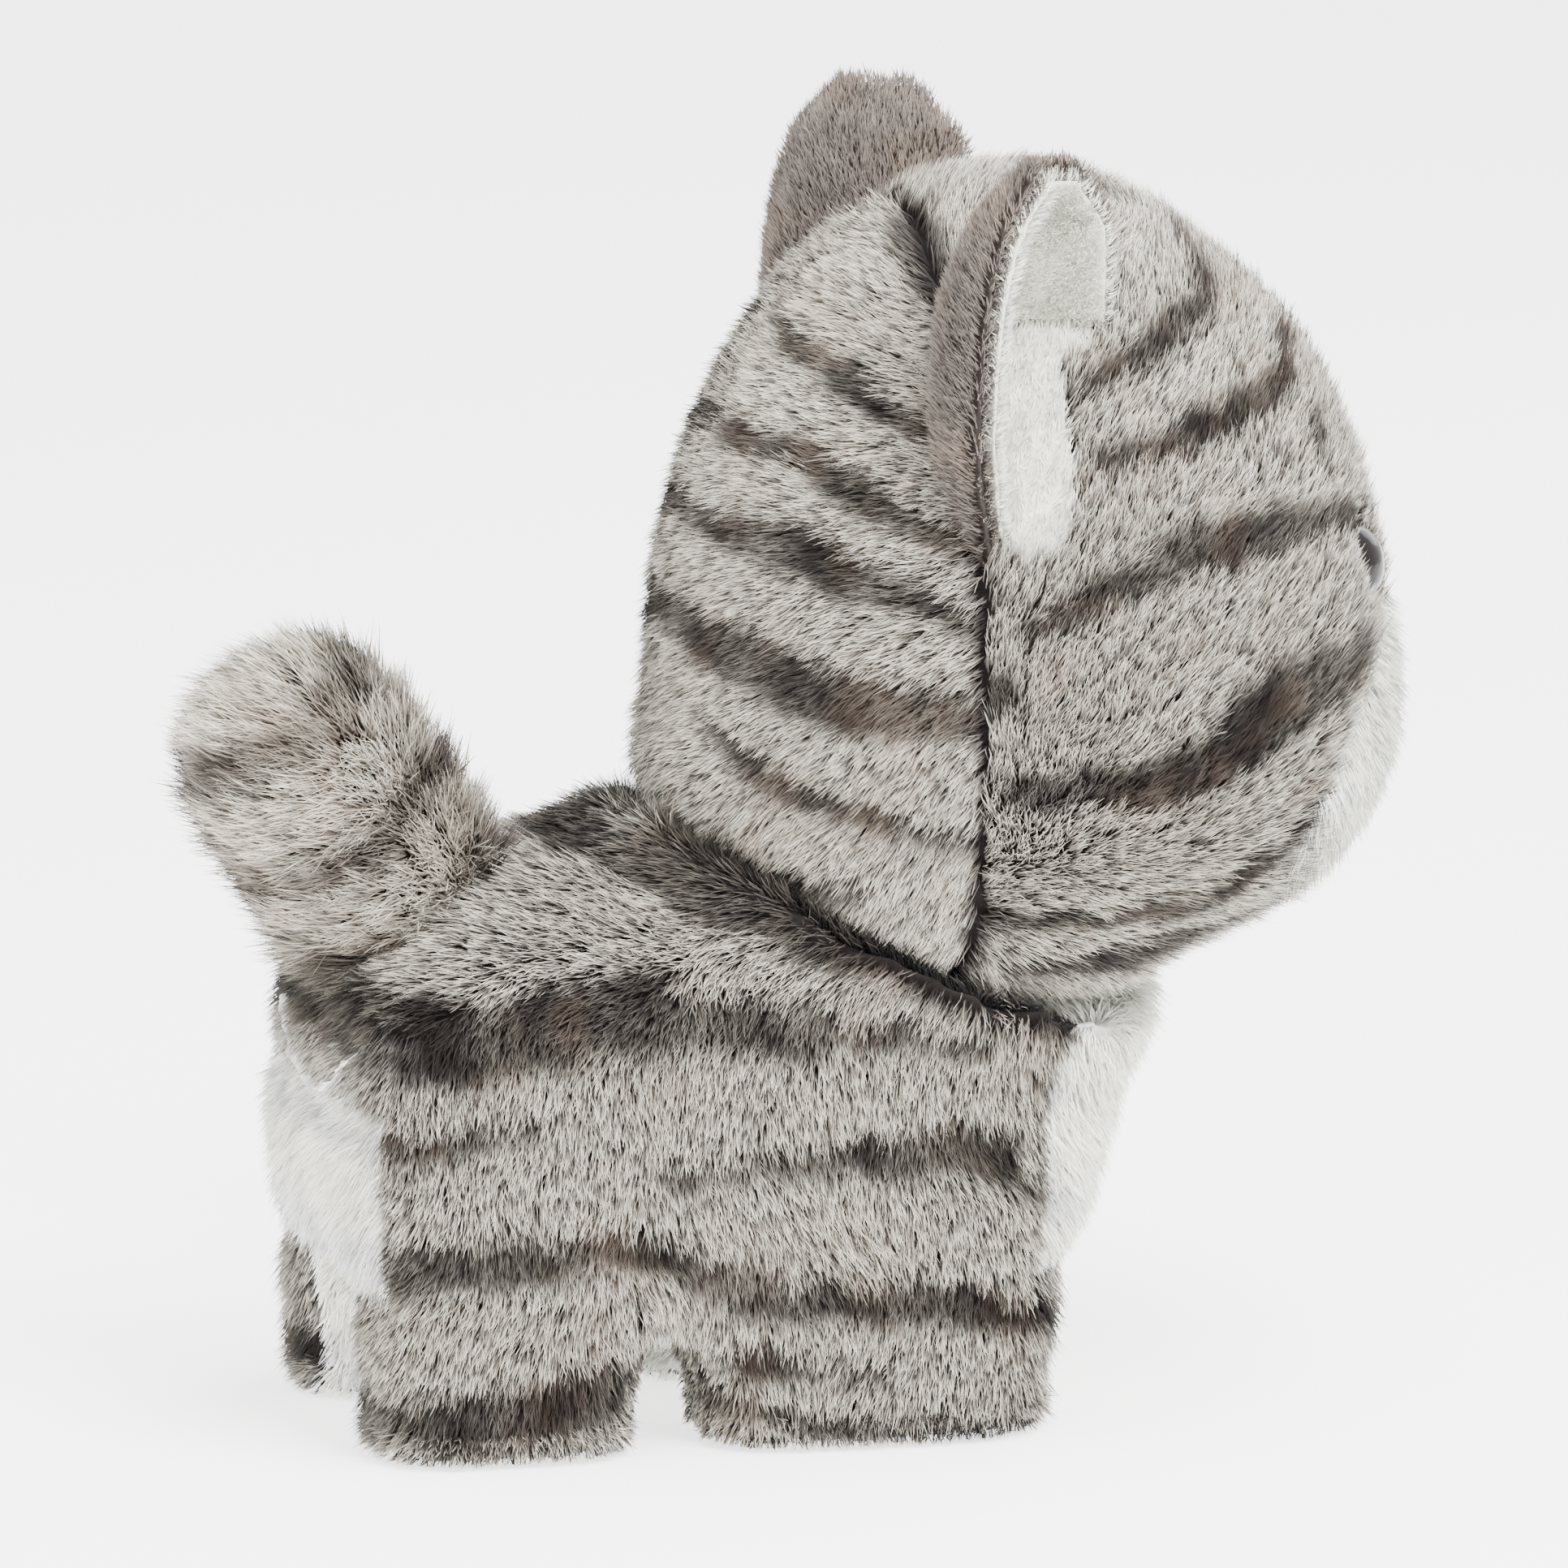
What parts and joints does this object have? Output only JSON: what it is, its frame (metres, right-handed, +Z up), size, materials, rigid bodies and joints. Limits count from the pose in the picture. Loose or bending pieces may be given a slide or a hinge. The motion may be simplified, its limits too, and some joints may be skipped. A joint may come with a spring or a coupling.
{
  "type": "plush cat",
  "caption": "Standing plush kitten with striped pile-fabric panels, white chest and lower face, cupped upright ears and a short thick tail, over soft stuffing.",
  "frame": {"origin": "on the resting plane, under the middle of the overall box, between the four feet", "axes": "the kitten faces -Y, its left side is +X, +Z is up"},
  "size_m": [0.1578, 0.2426, 0.2477],
  "materials": {
    "tabby_plush": "long-pile plush, warm grey with printed dark taupe tabby stripes, pale tips over darker roots",
    "white_plush": "long-pile plush, off-white",
    "ear_plush": "short-pile plush, dark taupe grey with paler tips",
    "ear_lining": "short smooth white plush",
    "stuffing": "polyester fibre wadding",
    "pellet_pouch": "thin woven pouch of plastic pellets",
    "eye_plastic": "glossy black safety eye",
    "washer_plastic": "natural plastic lock washer",
    "nose_thread": "satin-stitched embroidery thread",
    "mouth_thread": "dark embroidery thread"
  },
  "bodies": {
    "body": {"body_side_left": "tabby_plush", "body_side_right": "tabby_plush", "chest_panel": "white_plush", "rump_panel": "white_plush", "belly_panel": "white_plush", "sole_front_left": "tabby_plush", "sole_front_right": "tabby_plush", "sole_rear_left": "tabby_plush", "sole_rear_right": "tabby_plush", "stuffing_body": "stuffing", "stuffing_leg_front_left": "stuffing", "stuffing_leg_front_right": "stuffing", "stuffing_leg_rear_left": "stuffing", "stuffing_leg_rear_right": "stuffing", "pellet_pouch": "pellet_pouch"},
    "neck": {"stuffing_neck": "stuffing"},
    "head": {"head_back_left": "tabby_plush", "head_back_right": "tabby_plush", "head_side_left": "tabby_plush", "head_side_right": "tabby_plush", "face_panel": "white_plush", "stuffing_head": "stuffing", "eye_left": "eye_plastic", "eye_right": "eye_plastic", "eye_washer_left": "washer_plastic", "eye_washer_right": "washer_plastic", "nose": "nose_thread", "mouth_stitch": "mouth_thread"},
    "ear_left": {"ear_back_left": "ear_plush", "ear_inner_left": "ear_lining"},
    "ear_right": {"ear_back_right": "ear_plush", "ear_inner_right": "ear_lining"},
    "tail": {"tail_cover": "tabby_plush", "stuffing_tail": "stuffing"}
  },
  "joints": [
    {"name": "head_turn", "type": "hinge", "parent": "body", "child": "neck", "pos_m": [0, -0.044, 0.0865], "axis": [0, 0, 1], "range_deg": [-12, 12], "stiffness_Nm_per_rad": 0.8},
    {"name": "head_nod", "type": "hinge", "parent": "neck", "child": "head", "pos_m": [0, -0.044, 0.0865], "axis": [1, 0, 0], "range_deg": [-4, 4], "stiffness_Nm_per_rad": 1.5},
    {"name": "ear_left_fold", "type": "hinge", "parent": "head", "child": "ear_left", "pos_m": [0.055, -0.032, 0.193], "axis": [0.6691, 0.7431, 0], "range_deg": [-6, 6], "stiffness_Nm_per_rad": 0.03},
    {"name": "ear_right_fold", "type": "hinge", "parent": "head", "child": "ear_right", "pos_m": [-0.055, -0.032, 0.193], "axis": [0.6691, -0.7431, 0], "range_deg": [-6, 6], "stiffness_Nm_per_rad": 0.03},
    {"name": "tail_swing", "type": "hinge", "parent": "body", "child": "tail", "pos_m": [0, 0.0795, 0.105], "axis": [0, -0.8387, 0.5446], "range_deg": [-12, 12], "stiffness_Nm_per_rad": 0.12}
  ]
}
